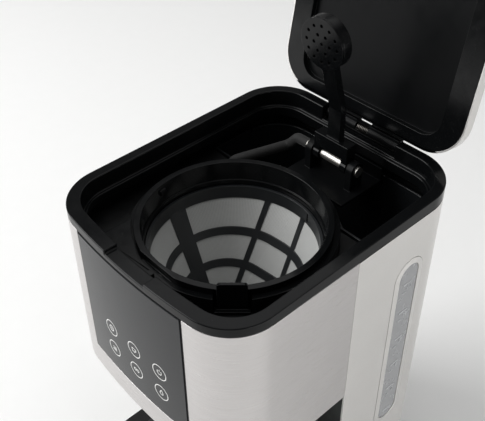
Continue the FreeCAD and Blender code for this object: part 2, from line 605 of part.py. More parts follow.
def slot_ring(outer, inner, z0, z1):
    """A level ring round the funnel's foot."""
    rings = []
    for skin in (outer, inner):
        face = Part.Face(slot_wire(MESH_FOOT[0] + skin, MESH_FOOT[1], z0))
        rings.append(face.extrude(vec(0, 0, z1 - z0)))
    return rings[0].cut(rings[1])


def rib_zone(azimuth, top_width, foot_width):
    """The upright space of a rib that runs down the funnel from an azimuth at its top."""
    c, s = math.cos(math.radians(azimuth)), math.sin(math.radians(azimuth))
    side = 1.0 if c > 0 else -1.0
    top = (MESH_TOP[0] * c, MESH_TOP[0] * s)
    foot = (side * MESH_FOOT[1] + MESH_FOOT[0] * c, MESH_FOOT[0] * s)
    run = math.hypot(top[0] - foot[0], top[1] - foot[1])
    u = ((top[0] - foot[0]) / run, (top[1] - foot[1]) / run)
    corners = []
    for place, along, width in ((foot, -4, -foot_width), (top, 6, -top_width), (top, 6, top_width), (foot, -4, foot_width)):
        x = place[0] + u[0] * along - u[1] * width / 2
        y = place[1] + u[1] * along + u[0] * width / 2
        corners.append(vec(x, y, 200))
    return Part.Face(Part.makePolygon(corners + corners[:1])).extrude(vec(0, 0, 100))


def seated(shape):
    """Turns and carries a piece of the filter to its place in the basket."""
    shape.rotate(vec(0, 0, 0), Z_AXIS, FILTER_TURN)
    return moved(shape, BASKET_XY[0], BASKET_XY[1], 0)


def make_filter():
    wall = FILTER_WALL
    top_r, foot_z, mesh_z = MESH_TOP[0], MESH_FOOT[2], MESH_TOP[2]
    rim = turned([(top_r + 0.7, FILTER_RIM_Z), (66.8, FILTER_RIM_Z), (66.8, FILTER_TOP_Z), (top_r + 0.3, FILTER_TOP_Z),
                  (top_r, mesh_z - 0.3), (top_r + wall, mesh_z - 0.3)])
    pieces = [rim, funnel(0, wall, 268.2, 274.4), funnel(0, wall, 243.0, 249.2), funnel(0, wall, foot_z, 228.0)]
    bars = funnel(0, wall, foot_z, mesh_z)
    for azimuth, top_width, foot_width in ((-1.6, 17.0, 12.0), (178.4, 17.0, 12.0), (75.8, 4.6, 4.2), (107.8, 4.6, 4.2),
                                           (255.8, 4.6, 4.2), (287.8, 4.6, 4.2)):
        pieces.append(bars.common(rib_zone(azimuth, top_width, foot_width)))
    pieces.append(slot_ring(0.4, -4.5, 222.4, foot_z + 0.2))
    pieces.append(box((-32, 32), (-2, 2), (222.4, foot_z)))
    for x in (-13.7, 13.7):
        pieces.append(box((x - 2, x + 2), (-18, 18), (222.4, foot_z)))
    frame = joined(pieces)
    slot = box((60, 70), (-0.7, 0.7), (298.5, 307.0))
    slot.rotate(vec(0, 0, 0), Z_AXIS, 70.3)
    parts["filter_frame"] = seated(frame.cut(slot))
    sleeve = funnel(wall + 0.05, wall + 0.35, foot_z, mesh_z)
    skirt = slot_ring(wall + 0.35, 0.45, 221.8, foot_z)
    disc = Part.Face(slot_wire(MESH_FOOT[0] + 0.5, MESH_FOOT[1], 221.8)).extrude(vec(0, 0, 0.5))
    parts["filter_mesh"] = seated(joined([sleeve, skirt, disc]))


# ---- carafe ----
def make_carafe():
    z = PLATE_TOP_Z + 0.05
    outer = [(0, z), (50, z), (56, z + 2.5), (61.5, z + 14), (63.5, z + 32), (62.5, z + 52), (57, z + 76),
             (49, z + 96), (45, z + 108), (45, z + 118), (47, z + 124)]
    inner = [(44.6, z + 124), (42.6, z + 118), (42.6, z + 108), (46.6, z + 95), (54.6, z + 75), (60.2, z + 52),
             (61.2, z + 32), (59.2, z + 15), (54, z + 5), (49, z + 2.6), (0, z + 2.6)]
    parts["carafe_glass"] = turned(outer + inner, PLATE_XY)
    top = z + 108.5
    parts["carafe_band"] = joined([washer(PLATE_XY, 47.2, 45.1, top, top + 9), box((-5.0, 5.0), (-95, -91.8), (top, top + 9))])
    grip = [(-91.9, top + 12), (-91.9, top + 9.2), (-95.2, top + 9.2), (-95.2, top - 0.2), (-94.0, top - 0.2),
            (-96, top - 6), (-111, top - 6), (-119, top - 14), (-121, top - 30), (-117, top - 62), (-108.8, top - 82),
            (-111, top - 86), (-121, top - 76), (-131, top - 56), (-134, top - 26), (-131, top - 4),
            (-121, top + 8), (-108, top + 12)]
    handle = side_prism(grip, -9.0, 9.0)
    long_edges = [e for e in handle.Edges if e.Length < 200 and abs(abs(e.CenterOfMass.x) - 9.0) < 0.01
                  and e.CenterOfMass.y < -97]
    parts["carafe_handle"] = handle.makeFillet(2.4, long_edges)
    lid = turned([(0, 178.5), (12, 178.5), (16, 181), (38, 181), (44, 176.5), (46.8, 170), (46.8, z + 124.3),
                  (41.4, z + 124.3), (41.4, z + 113), (39.6, z + 113), (39.6, 171), (36, 177.5), (6.5, 176),
                  (6.5, 172), (0, 172)], PLATE_XY)
    spout = box((-8, 8), (-96, -84), (z + 124.3, 174))
    spout = spout.cut(drum(PLATE_XY, 43.0, 100, 200)).common(drum(PLATE_XY, 50.5, 100, 200))
    lever = box((-7, 7), (-101, -88), (175, 178)).cut(drum(PLATE_XY, 42.0, 100, 200))
    boss = turned([(9, 180.8), (18, 180.8), (14.5, 187.6), (11, 187.6)], (BASKET_XY[0], BASKET_XY[1]))
    lid = joined([lid, spout, lever, boss])
    parts["carafe_lid"] = lid.cut(drum(BASKET_XY, 8.0, 160, 200))


make_base()
make_heater()
make_column()
make_head()
make_rim()
make_deck()
make_tank()
make_arm()
make_lid()
make_basket()
make_filter()
make_carafe()

os.makedirs("parts", exist_ok=True)
for name, shape in parts.items():
    if not shape.isValid():
        raise RuntimeError(name + " is not a valid solid")
    placed = moved(shape, 0, FRAME_SHIFT_Y, 0)
    placed.exportStep("parts/" + name + ".step")
    print(name, len(shape.Solids), round(shape.Volume / 1000.0, 2))
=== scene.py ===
"""Drip coffee maker with its lid open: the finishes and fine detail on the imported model."""

import json
import math

import bmesh
import bpy
from bpy.props import FloatProperty, FloatVectorProperty, PointerProperty
from mathutils import Matrix, Vector

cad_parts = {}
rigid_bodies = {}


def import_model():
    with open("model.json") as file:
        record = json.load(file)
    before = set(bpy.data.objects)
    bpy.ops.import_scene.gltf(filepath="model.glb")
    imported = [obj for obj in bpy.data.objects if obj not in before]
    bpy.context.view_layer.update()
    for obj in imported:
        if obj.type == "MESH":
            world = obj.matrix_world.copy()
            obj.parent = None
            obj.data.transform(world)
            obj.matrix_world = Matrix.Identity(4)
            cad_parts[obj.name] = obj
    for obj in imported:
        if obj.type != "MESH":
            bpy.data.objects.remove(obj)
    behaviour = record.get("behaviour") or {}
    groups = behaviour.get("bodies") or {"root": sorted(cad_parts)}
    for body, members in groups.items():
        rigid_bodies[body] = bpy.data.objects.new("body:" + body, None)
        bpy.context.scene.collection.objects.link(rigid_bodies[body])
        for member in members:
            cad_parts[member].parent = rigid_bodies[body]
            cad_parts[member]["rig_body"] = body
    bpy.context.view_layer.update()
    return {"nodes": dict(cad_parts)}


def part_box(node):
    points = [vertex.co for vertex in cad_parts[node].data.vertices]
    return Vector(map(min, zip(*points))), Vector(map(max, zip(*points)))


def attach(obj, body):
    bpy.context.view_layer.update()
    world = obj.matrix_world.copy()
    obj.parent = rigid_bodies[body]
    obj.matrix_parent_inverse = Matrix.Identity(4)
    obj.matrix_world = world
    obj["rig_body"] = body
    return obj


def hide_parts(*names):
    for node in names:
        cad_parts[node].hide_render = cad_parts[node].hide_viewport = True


bl_info = {
    "name": "Drip coffee maker",
    "version": (1, 0, 0),
    "blender": (4, 5, 0),
    "location": "View3D > Sidebar > Coffee maker",
    "description": "Finishes a drip coffee maker around its packed model",
    "category": "Object",
}

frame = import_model()

MM = 0.001


# ---- colours, sizes and the stage, as a user would change them ----
def linear(hex_colour):
    """An sRGB hex colour as linear red, green, blue and alpha."""
    parts = [int(hex_colour[i : i + 2], 16) / 255 for i in (0, 2, 4)]
    bent = [p / 12.92 if p <= 0.04045 else ((p + 0.055) / 1.055) ** 2.4 for p in parts]
    return (*bent, 1.0)


def colour(name, description, hex_colour):
    return FloatVectorProperty(
        name=name,
        description=description,
        default=linear(hex_colour),
        size=4,
        min=0.0,
        max=1.0,
        subtype="COLOR",
    )


def length(name, description, mm):
    return FloatProperty(
        name=name, description=description, default=mm * MM, min=0.0, unit="LENGTH", subtype="DISTANCE"
    )


def watts(name, description, power):
    return FloatProperty(name=name, description=description, default=power, min=0.0, unit="POWER")


class BrewerColours(bpy.types.PropertyGroup):
    gloss_black: colour("Gloss black", "Polished black ABS of the rim, lid underside and basket", "0B0C0D")
    satin_black: colour("Satin black", "Textured black plastic inside the machine and on the base", "0C0D0E")
    steel: colour("Steel", "Brushed stainless sheet round the front of the body", "D0CDCC")
    silver_paint: colour("Silver paint", "Painted rear cover and lid skin", "E2E0DD")
    panel_grey: colour("Panel grey", "Back-printed film of the touch panel", "232426")
    print_white: colour("Print white", "Touch icons and panel print", "E9E9E7")
    window_grey: colour("Window grey", "Smoked moulding of the water gauge", "A6A7A9")
    filter_grey: colour("Filter grey", "Moulded frame of the permanent filter", "1D1F21")
    mesh_grey: colour("Mesh grey", "Woven nylon of the filter", "C4C5C3")
    bright_steel: colour("Bright steel", "Plated screws, valve spring and pivot tube", "D9D6D0")
    floor: colour("Floor", "Pale floor under the machine", "FBFBFA")


class BrewerSizes(bpy.types.PropertyGroup):
    edge: length("Moulded edge", "Radius on the edges of the moulded parts", 0.45)
    rim_edge: length("Rim edge", "Radius on the edges of the top rim", 1.0)
    sheet_edge: length("Sheet edge", "Radius on the edges of sheet metal", 0.2)
    fine_edge: length("Fine edge", "Radius on the edges of the small parts", 0.2)
    brush_pitch: length("Brush pitch", "Distance between the brush lines on the steel", 0.35)
    grain_pitch: length("Grain pitch", "Grain of the textured black plastic", 0.5)
    weave_pitch: length("Weave pitch", "Distance between the threads of the filter", 0.9)
    icon_line: length("Icon line", "Width of the printed lines of the touch icons", 0.8)
    numeral: length("Numeral", "Height of the numbers on the water gauge", 7.0)


class BrewerStage(bpy.types.PropertyGroup):
    floor_size: length("Floor size", "Side of the square floor", 9000.0)
    lens: FloatProperty(
        name="Lens", description="Focal length of the camera", default=58.935, min=1.0, unit="CAMERA"
    )
    key_power: watts("Key light", "Power of the softbox at the front left", 62.0)
    side_power: watts("Side light", "Power of the low softbox at the right", 12.0)
    top_power: watts("Top light", "Power of the large overhead softbox", 28.0)
    room: FloatProperty(
        name="Room light", description="Brightness of the room around the stage", default=0.2, min=0.0
    )


# ---- fixed sizes ----
# touch panel
ICON_RADIUS = 7.2 * MM
ICON_MIDDLE = 28.1 * MM  # from the left column of icons to the middle one
ICON_INSET = 0.3  # mm that a ring's line lies inside the icon's edge
PANEL_BOW = 556.5 * MM  # radius of the panel's slight curve
PRINT_FLATNESS = 0.35

# water gauge
PANE_FLANGE = 2.4 * MM
RIDGE_WIDTH = 1.3 * MM
SLOPE_RISE = 0.65 * MM
NUMERAL_STEP = 31.2 * MM
NUMERAL_DROP = 5.6 * MM  # from the top of the marks to the middle of the first number
NUMERAL_INSET = 2.2 * MM
NUMERAL_DEPTH = 0.1 * MM

# hinge
BLACK_LIP_HEIGHT = 14.0 * MM  # height above the pin up to which the lid's lip is black
# sizes of the black web behind the hinge spring, a dark sheet standing in for shade
SHADE_WEB_INNER = 4.9 * MM
SHADE_WEB_OUTER = 5.7 * MM
SHADE_WEB_OVERLAP = 0.6 * MM
SHADE_WEB_START = -40.0  # degrees
SHADE_WEB_TURN = 150.0

# finishes
DUST = "9A9A98"
TONE_PATCH = 30 * MM  # size of the slow changes of tone on metal

# camera: turn, lift and roll in degrees, its place in metres, and its sensor's shift
CAMERA_ANGLES = (47.473, 38.93, -0.376)
CAMERA_PLACE = (0.33380, -0.33427, 0.70825)
CAMERA_SHIFT = (-0.0078, -0.0278)

# softboxes: size, place and aim in metres
KEY_BOX = ((1.6, 2.4), (-1.5, -1.55, 1.5), (0.0, 0.0, 0.4))
SIDE_BOX = ((2.0, 0.5), (1.8, 0.25, 0.32), (0.1, 0.15, 0.2))
TOP_BOX = ((3.0, 3.0), (-0.4, 0.2, 2.6), (0.1, 0.2, 0.0))


# ---- materials ----
def add(tree, kind, inputs=None, **settings):
    """Adds a node with its settings. An input is a value, or the socket that feeds it."""
    node = tree.nodes.new(kind)
    for name, value in settings.items():
        setattr(node, name, value)
    for name, value in (inputs or {}).items():
        if isinstance(value, bpy.types.NodeSocket):
            tree.links.new(value, node.inputs[name])
        else:
            node.inputs[name].default_value = value
    return node


def noise(tree, place, size, detail=2.0, stretch=(1, 1, 1)):
    """Noise whose features are about so many metres across."""
    spread = add(tree, "ShaderNodeMapping", {"Vector": place, "Scale": [s / size for s in stretch]})
    texture = add(tree, "ShaderNodeTexNoise", {"Vector": spread.outputs[0], "Scale": 1.0, "Detail": detail})
    return texture.outputs["Fac"]


def ranged(tree, value, low, high, start=0.3, end=0.7):
    """A texture's middle range carried to a range of its own."""
    made = add(tree, "ShaderNodeMapRange", {0: value, 1: start, 2: end, 3: low, 4: high})
    return made.outputs[0]


def blended(tree, share, first, second):
    """Two colours mixed by a share."""
    mixed = add(tree, "ShaderNodeMix", {0: share, 6: first, 7: second}, data_type="RGBA")
    return mixed.outputs[2]


def shade(base, factor):
    """A colour made lighter or darker."""
    return (*[min(1.0, c * factor) for c in base[:3]], 1.0)


def surface(name, **sockets):
    """A new material with its shader's own values set, its node tree, shader and object coordinates."""
    material = bpy.data.materials.new(name)
    material.use_nodes = True
    tree = material.node_tree
    shader = tree.nodes["Principled BSDF"]
    for socket, value in sockets.items():
        shader.inputs[socket.replace("_", " ")].default_value = value
    place = add(tree, "ShaderNodeTexCoord").outputs["Object"]
    return material, tree, shader, place


def bump(tree, shader, *layers):
    """Stacks (height, depth in metres) layers on the shader's normal."""
    normal = None
    for height, depth in layers:
        inputs = {"Height": height, "Distance": depth, "Strength": 1.0}
        if normal is not None:
            inputs["Normal"] = normal
        normal = add(tree, "ShaderNodeBump", inputs).outputs[0]
    tree.links.new(normal, shader.inputs["Normal"])


def plastic(name, base, rough, grain, depth, mottle=0.12, dust=0.0, **sockets):
    """Moulded plastic: a surface grain, slow changes of gloss from handling, and a little dust."""
    material, tree, shader, place = surface(name, IOR=1.53, **sockets)
    cloud = noise(tree, place, 22 * MM, 4.0)
    tone = blended(tree, cloud, shade(base, 1 - mottle), shade(base, 1 + mottle))
    if dust:
        specks = ranged(tree, noise(tree, place, 1.1 * MM, 1.0), 0.0, dust, 0.70, 0.80)
        tone = blended(tree, specks, tone, linear(DUST))
    tree.links.new(tone, shader.inputs["Base Color"])
    tree.links.new(ranged(tree, noise(tree, place, 9 * MM, 5.0), *rough), shader.inputs["Roughness"])
    bump(tree, shader, (noise(tree, place, grain, 3.0), depth))
    return material


def metal(name, base, rough, pitch, stretch, depth, **sockets):
    """Worked metal: lines or grain left by the tool, and slow changes of tone and gloss."""
    material, tree, shader, place = surface(name, Metallic=1.0, **sockets)
    lines = noise(tree, place, pitch, 2.0, stretch)
    tone = blended(tree, noise(tree, place, TONE_PATCH, 3.0), shade(base, 0.95), shade(base, 1.04))
    tone = blended(tree, ranged(tree, lines, 0.0, 0.35), tone, shade(base, 0.84))
    tree.links.new(tone, shader.inputs["Base Color"])
    tree.links.new(ranged(tree, lines, *rough), shader.inputs["Roughness"])
    bump(tree, shader, (lines, depth))
    return material


def once(maker):
    """Makes a material the first time it is asked for."""
    kept = {}

    def wrapped():
        if maker.__name__ not in kept:
            kept[maker.__name__] = maker(bpy.context.scene.brewer_colours, bpy.context.scene.brewer_sizes)
        return kept[maker.__name__]

    return wrapped


@once
def polished_abs(colours, sizes):
    # ABS from a polished mould: mirror-like, with the faint orange peel of the flow and fine settled dust
    return plastic(
        "abs_black_polished_mould",
        colours.gloss_black,
        (0.09, 0.2),
        2.6 * MM,
        0.006 * MM,
        dust=0.04,
        Specular_IOR_Level=0.15,
    )


@once
def textured_abs(colours, sizes):
    # ABS from a spark-eroded mould: a fine even grain that breaks up reflections.
    # It is drawn coarser than the real 0.1 mm, to show
    return plastic(
        "abs_black_spark_eroded",
        colours.satin_black,
        (0.34, 0.5),
        sizes.grain_pitch,
        0.03 * MM,
        dust=0.04,
        Specular_IOR_Level=0.3,
    )


@once
def recess_abs(colours, sizes):
    # ABS from a mould with a very fine etch: a deep black that hardly mirrors
    return plastic(
        "abs_black_fine_etched", colours.satin_black, (0.3, 0.42), 0.9 * MM, 0.008 * MM, Specular_IOR_Level=0.08
    )


@once
def brushed_steel(colours, sizes):
    # stainless sheet brushed along the body: level lines that smear a reflection upwards
    stretch = (0.012, 0.012, 1)
    return metal("stainless_steel_brushed", colours.steel, (0.26, 0.4), sizes.brush_pitch, stretch, 0.004 * MM)


@once
def silver_paint(colours, sizes):
    # ABS sprayed with metallic lacquer: fine flake in a soft sheen under a thin clear layer
    material = metal(
        "abs_silver_sprayed_lacquer", colours.silver_paint, (0.32, 0.42), 0.45 * MM, (1, 1, 1), 0.003 * MM
    )
    shader = material.node_tree.nodes["Principled BSDF"]
    shader.inputs["Metallic"].default_value = 0.75
    shader.inputs["Coat Weight"].default_value = 0.3
    shader.inputs["Coat Roughness"].default_value = 0.2
    return material


@once
def panel_film(colours, sizes):
    # hard-coated polycarbonate film, printed on its back: a flat glassy grey with small ripples from its glue
    return plastic(
        "polycarbonate_film_back_printed",
        colours.panel_grey,
        (0.1, 0.18),
        14 * MM,
        0.02 * MM,
        mottle=0.05,
        dust=0.03,
        Specular_IOR_Level=0.16,
    )


@once
def white_print(colours, sizes):
    # silk-screened ink: matt, with slightly uneven cover
    return plastic(
        "ink_white_silk_screened", colours.print_white, (0.45, 0.6), 0.3 * MM, 0.01 * MM, mottle=0.05
    )


@once
def smoked_window(colours, sizes):
    # SAN moulding with a frosted back: grey and slightly clear, glossy in front
    return plastic(
        "san_smoked_frosted_back",
        colours.window_grey,
        (0.2, 0.3),
        3 * MM,
        0.02 * MM,
        mottle=0.06,
        Transmission_Weight=0.15,
    )


@once
def raised_mark_painted_highlight(colours, sizes):
    # the window's own plastic, raised and left polished, with its colour painted 1.5 times lighter than the
    # window as a painted highlight
    return plastic("san_raised_scale_painted_highlight", shade(colours.window_grey, 1.5), (0.15, 0.25), 1 * MM, 0.01 * MM)


@once
def filter_plastic(colours, sizes):
    # polypropylene from a smooth mould: waxy grey with soft flow marks and a dull gloss
    return plastic(
        "polypropylene_grey_moulded", colours.filter_grey, (0.28, 0.42), 1.6 * MM, 0.02 * MM, mottle=0.1
    )


@once
def valve_plastic(colours, sizes):
    # acetal turned smooth by its mould: slippery off-white
    return plastic("acetal_white_moulded", linear("D8D6CF"), (0.25, 0.35), 1.2 * MM, 0.01 * MM, mottle=0.04)


@once
def tank_plastic(colours, sizes):
    # polypropylene blown thin and dyed: dark, faintly clear, with flow streaks running up
    return plastic(
        "polypropylene_smoke_moulded",
        linear("1B1D1F"),
        (0.25, 0.4),
        5 * MM,
        0.05 * MM,
        mottle=0.15,
        Transmission_Weight=0.1,
    )


@once
def bright_steel(colours, sizes):
    # drawn steel, nickel plated: nearly a mirror, with fine drawing lines
    return metal("steel_nickel_plated", colours.bright_steel, (0.1, 0.2), 0.3 * MM, (0.05, 1, 1), 0.002 * MM)


@once
def pivot_steel(colours, sizes):
    # steel tube, drawn and tumbled: a broad even sheen
    base = shade(colours.bright_steel, 0.75)
    return metal("steel_tube_tumbled", base, (0.36, 0.44), 0.3 * MM, (0.05, 1, 1), 0.002 * MM)


@once
def spring_steel(colours, sizes):
    # oil-tempered steel: brownish grey, with small bright rubs
    return metal("steel_oil_tempered", linear("6F6C68"), (0.22, 0.4), 0.4 * MM, (1, 1, 1), 0.004 * MM)


@once
def cast_aluminium(colours, sizes):
    # die-cast aluminium: dull grey, slightly pitted
    return metal("aluminium_die_cast", linear("A6A7A8"), (0.42, 0.58), 0.9 * MM, (1, 1, 1), 0.05 * MM)


@once
def drawn_aluminium(colours, sizes):
    # aluminium drawn and bead-blasted: even and matt
    return metal("aluminium_bead_blasted", linear("B9BABB"), (0.35, 0.45), 0.5 * MM, (1, 1, 1), 0.01 * MM)


@once
def plate_coating(colours, sizes):
    # non-stick PTFE sprayed on the warming plate: dark with pale flecks, and rubbed where the jug stands
    material, tree, shader, place = surface("ptfe_sprayed_flecked", IOR=1.38, Coat_Weight=0.1)
    flecks = ranged(tree, noise(tree, place, 0.8 * MM, 1.0), 0.0, 0.5, 0.62, 0.7)
    rubbed = ranged(tree, noise(tree, place, 30 * MM, 5.0), 0.0, 0.4)
    base = blended(tree, rubbed, linear("232426"), linear("2F3032"))
    tree.links.new(blended(tree, flecks, base, linear("8B8C8D")), shader.inputs["Base Color"])
    tree.links.new(ranged(tree, noise(tree, place, 12 * MM, 4.0), 0.35, 0.5), shader.inputs["Roughness"])
    bump(tree, shader, (noise(tree, place, 0.7 * MM, 2.0), 0.02 * MM))
    return material


@once
def rubber(colours, sizes):
    # EPDM rubber from a matt mould: no gloss, and pale dust held in its grain
    return plastic(
        "epdm_rubber_moulded", linear("151515"), (0.7, 0.85), 0.6 * MM, 0.06 * MM, dust=0.12, Sheen_Weight=0.1
    )


@once
def silicone(colours, sizes):
    # extruded silicone hose: milky and soft-edged
    return plastic(
        "silicone_extruded_milky",
        linear("C9C7C0"),
        (0.35, 0.5),
        2 * MM,
        0.03 * MM,
        mottle=0.05,
        Transmission_Weight=0.25,
    )


@once
def circuit_board(colours, sizes):
    # lacquered glass-epoxy board: green, with the weave of the cloth showing through
    material, tree, shader, place = surface("glass_epoxy_lacquered", IOR=1.55, Coat_Weight=0.4)
    weave = noise(tree, place, 0.7 * MM, 1.0, (1, 1, 0.2))
    tree.links.new(blended(tree, weave, linear("0E4A2B"), linear("1B6B41")), shader.inputs["Base Color"])
    tree.links.new(ranged(tree, weave, 0.25, 0.4), shader.inputs["Roughness"])
    bump(tree, shader, (weave, 0.02 * MM))
    return material


@once
def borosilicate(colours, sizes):
    # blown borosilicate: clear, with the slow waves of blowing
    material, tree, shader, place = surface(
        "borosilicate_glass_blown", IOR=1.473, Transmission_Weight=1.0, Base_Color=linear("F7FBF9")
    )
    tree.links.new(ranged(tree, noise(tree, place, 20 * MM, 3.0), 0.0, 0.03), shader.inputs["Roughness"])
    bump(tree, shader, (noise(tree, place, 35 * MM, 2.0), 0.15 * MM))
    return material


@once
def woven_nylon(colours, sizes):
    # plain-woven nylon thread: pale crossing threads, with the gaps between them painted dark as painted shade
    # for the dim inside seen through the weave.
    # The real 0.25 mm pitch is drawn coarser, to show
    material, tree, shader, place = surface("nylon_plain_woven", IOR=1.53, Sheen_Weight=0.2)
    uv = add(tree, "ShaderNodeUVMap", uv_map="threads").outputs[0]
    scaled = add(tree, "ShaderNodeMapping", {"Vector": uv, "Scale": [math.pi / sizes.weave_pitch] * 3})
    apart = add(tree, "ShaderNodeSeparateXYZ", {0: scaled.outputs[0]})
    threads = []
    for axis in ("X", "Y"):
        wave = add(tree, "ShaderNodeMath", {0: apart.outputs[axis]}, operation="SINE")
        threads.append(add(tree, "ShaderNodeMath", {0: wave.outputs[0]}, operation="ABSOLUTE").outputs[0])
    height = add(tree, "ShaderNodeMath", {0: threads[0], 1: threads[1]}, operation="MAXIMUM").outputs[0]
    cover = ranged(tree, height, 0.0, 1.0, 0.35, 0.8)
    stain = ranged(tree, noise(tree, place, 18 * MM, 4.0), 0.0, 0.16)
    thread = blended(tree, stain, colours.mesh_grey, shade(colours.mesh_grey, 0.62))
    # gaps painted at half the thread colour: painted shade for the dim inside behind the weave
    tree.links.new(blended(tree, cover, shade(colours.mesh_grey, 0.5), thread), shader.inputs["Base Color"])
    tree.links.new(ranged(tree, height, 0.6, 0.45, 0.0, 1.0), shader.inputs["Roughness"])
    bump(tree, shader, (height, 0.1 * MM))
    return material


@once
def floor_paint(colours, sizes):
    # matt emulsion on board: plain and pale, with a faint roller texture
    return plastic("emulsion_paint_rolled", colours.floor, (0.75, 0.9), 3 * MM, 0.04 * MM, mottle=0.01)


# ---- pieces ----
def placed(piece, bm, body, material):
    """Makes a finished bmesh a piece that rides on its body."""
    mesh = bpy.data.meshes.new(piece)
    bm.to_mesh(mesh)
    bm.free()
    mesh.materials.append(material)
    mesh.shade_smooth()
    mesh.set_sharp_from_angle(angle=math.radians(30))
    obj = bpy.data.objects.new(piece, mesh)
    bpy.context.scene.collection.objects.link(obj)
    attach(obj, body)
    return obj


def rounded(obj, radius, segments=2, angle=30.0):
    """Gives an object's sharp edges a small moulded radius."""
    bevel = obj.modifiers.new("edge radius", "BEVEL")
    bevel.width = radius
    bevel.segments = segments
    bevel.profile = 0.5
    bevel.limit_method = "ANGLE"
    bevel.angle_limit = math.radians(angle)
    bevel.use_clamp_overlap = False
    bevel.harden_normals = True
    return obj


def body_of(node):
    return frame["nodes"][node]["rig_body"]


def remade(piece, node, material, radius=0.0, segments=2, angle=30.0, flat=0.3):
    """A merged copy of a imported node, with its flat faces whole and its edges given a radius."""
    bm = bmesh.new()
    bm.from_mesh(frame["nodes"][node].data)
    bmesh.ops.remove_doubles(bm, verts=bm.verts, dist=1e-6)
    bmesh.ops.dissolve_limit(bm, angle_limit=math.radians(flat), verts=bm.verts, edges=bm.edges)
    for layer in list(bm.loops.layers.uv):
        bm.loops.layers.uv.remove(layer)
    obj = placed(piece, bm, body_of(node), material)
    custom = obj.data.attributes.get("custom_normal")
    if custom is not None:
        obj.data.attributes.remove(custom)
    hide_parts(node)
    return rounded(obj, radius, segments, angle) if radius else obj


def finished(node, material):
    """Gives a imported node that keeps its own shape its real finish."""
    mesh = frame["nodes"][node].data
    mesh.materials.clear()
    mesh.materials.append(material)


class BREWER_OT_base(bpy.types.Operator):
    """Base housing with its steel band, feet, screws and cord gland"""

    bl_idname = "brewer.base"
    bl_label = "Base"

    def execute(self, context):
        sizes = context.scene.brewer_sizes
        remade("base_housing", "base_shell", textured_abs(), sizes.edge)
        remade("base_steel_band", "base_band", brushed_steel(), sizes.sheet_edge)
        remade("base_cover", "bottom_cover", textured_abs(), sizes.fine_edge)
        remade("feet", "rubber_feet", rubber(), sizes.edge)
        remade("cord_bush", "cord_gland", rubber(), sizes.fine_edge)
        finished("cover_screws", bright_steel())
        return {"FINISHED"}


class BREWER_OT_heater(bpy.types.Operator):
    """Warming plate, its seal, and the parts below it"""

    bl_idname = "brewer.heater"
    bl_label = "Warming plate"

    def execute(self, context):
        sizes = context.scene.brewer_sizes
        remade("warming_plate", "hot_plate", plate_coating(), sizes.fine_edge)
        remade("warming_plate_seal", "plate_seal", rubber(), sizes.fine_edge)
        for node, material in (
            ("heating_element", cast_aluminium()),
            ("thermostat", drawn_aluminium()),
            ("thermal_fuse", valve_plastic()),
            ("power_board", circuit_board()),
            ("board_posts", textured_abs()),
        ):
            finished(node, material)
        return {"FINISHED"}


class BREWER_OT_housing(bpy.types.Operator):
    """Steel wrap, rear cover, bay wall and head floor"""

    bl_idname = "brewer.housing"
    bl_label = "Housing"

    def execute(self, context):
        sizes = context.scene.brewer_sizes
        remade("front_steel", "steel_wrap", brushed_steel(), sizes.sheet_edge)
        rear = remade("rear_housing", "rear_cover", silver_paint(), sizes.edge)
        self.bare_inside(rear)
        remade("bay_lining", "bay_wall", textured_abs(), sizes.edge)
        remade("head_frame", "head_shell", textured_abs(), sizes.edge)
        return {"FINISHED"}


    def bare_inside(self, rear):
        """The rear cover is sprayed outside only: its inner faces and its top edge stay black."""
        low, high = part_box("rear_cover")
        middle = (low + high) / 2
        rear.data.materials.append(recess_abs())
        for face in rear.data.polygons:
            away = face.center - middle
            inward = face.normal.x * away.x + face.normal.y * away.y < 0.0
            if inward or face.normal.z > 0.7:
                face.material_index = 1


class BREWER_OT_rim(bpy.types.Operator):
    """Polished rim round the open top"""

    bl_idname = "brewer.rim"
    bl_label = "Top rim"

    def execute(self, context):
        sizes = context.scene.brewer_sizes
        remade("rim_moulding", "top_rim", polished_abs(), sizes.rim_edge, 4, 40.0)
        return {"FINISHED"}


# printed signs, as lines of (x, z) points in mm about each icon's middle
def ring_points(radius, start=0.0, turn=360.0, steps=24, centre=(0.0, 0.0)):
    """Points round an arc."""
    made = []
    for step in range(steps + 1):
        angle = math.radians(start + turn * step / steps)
        made.append((centre[0] + radius * math.cos(angle), centre[1] + radius * math.sin(angle)))
    return made


def icon_signs():
    """The lines of the six signs: on, timer, cup, strength, keep warm and rinse."""
    power = [ring_points(2.2, 130, 280), [(0, 0.8), (0, 3.0)]]
    timer = [ring_points(2.5), [(0, 1.6), (0, 0), (1.2, -0.6)]]
    cup = [
        [(-2.2, 1.4), (-1.7, -2.0), (1.2, -2.0), (1.7, 1.4), (-2.2, 1.4)],
        ring_points(0.9, 80, -170, 10, (1.7, 0.1)),
    ]
    bean = [ring_points(1.2, 0, 360, 16, (-1.6, 0)), ring_points(1.2, 0, 360, 16, (1.6, 0))]
    warm = [[(-2.4, -1.9), (2.4, -1.9)]]
    for x in (-1.5, 0.0, 1.5):
        warm.append([(x, -0.9), (x + 0.5, 0.1), (x, 1.1), (x + 0.5, 2.1)])
    drop = [[(0, 2.6), (1.3, 0.4), *ring_points(1.6, 20, -220, 12, (0, -0.8)), (-1.3, 0.4), (0, 2.6)]]
    return [timer, cup, power, warm, bean, drop]


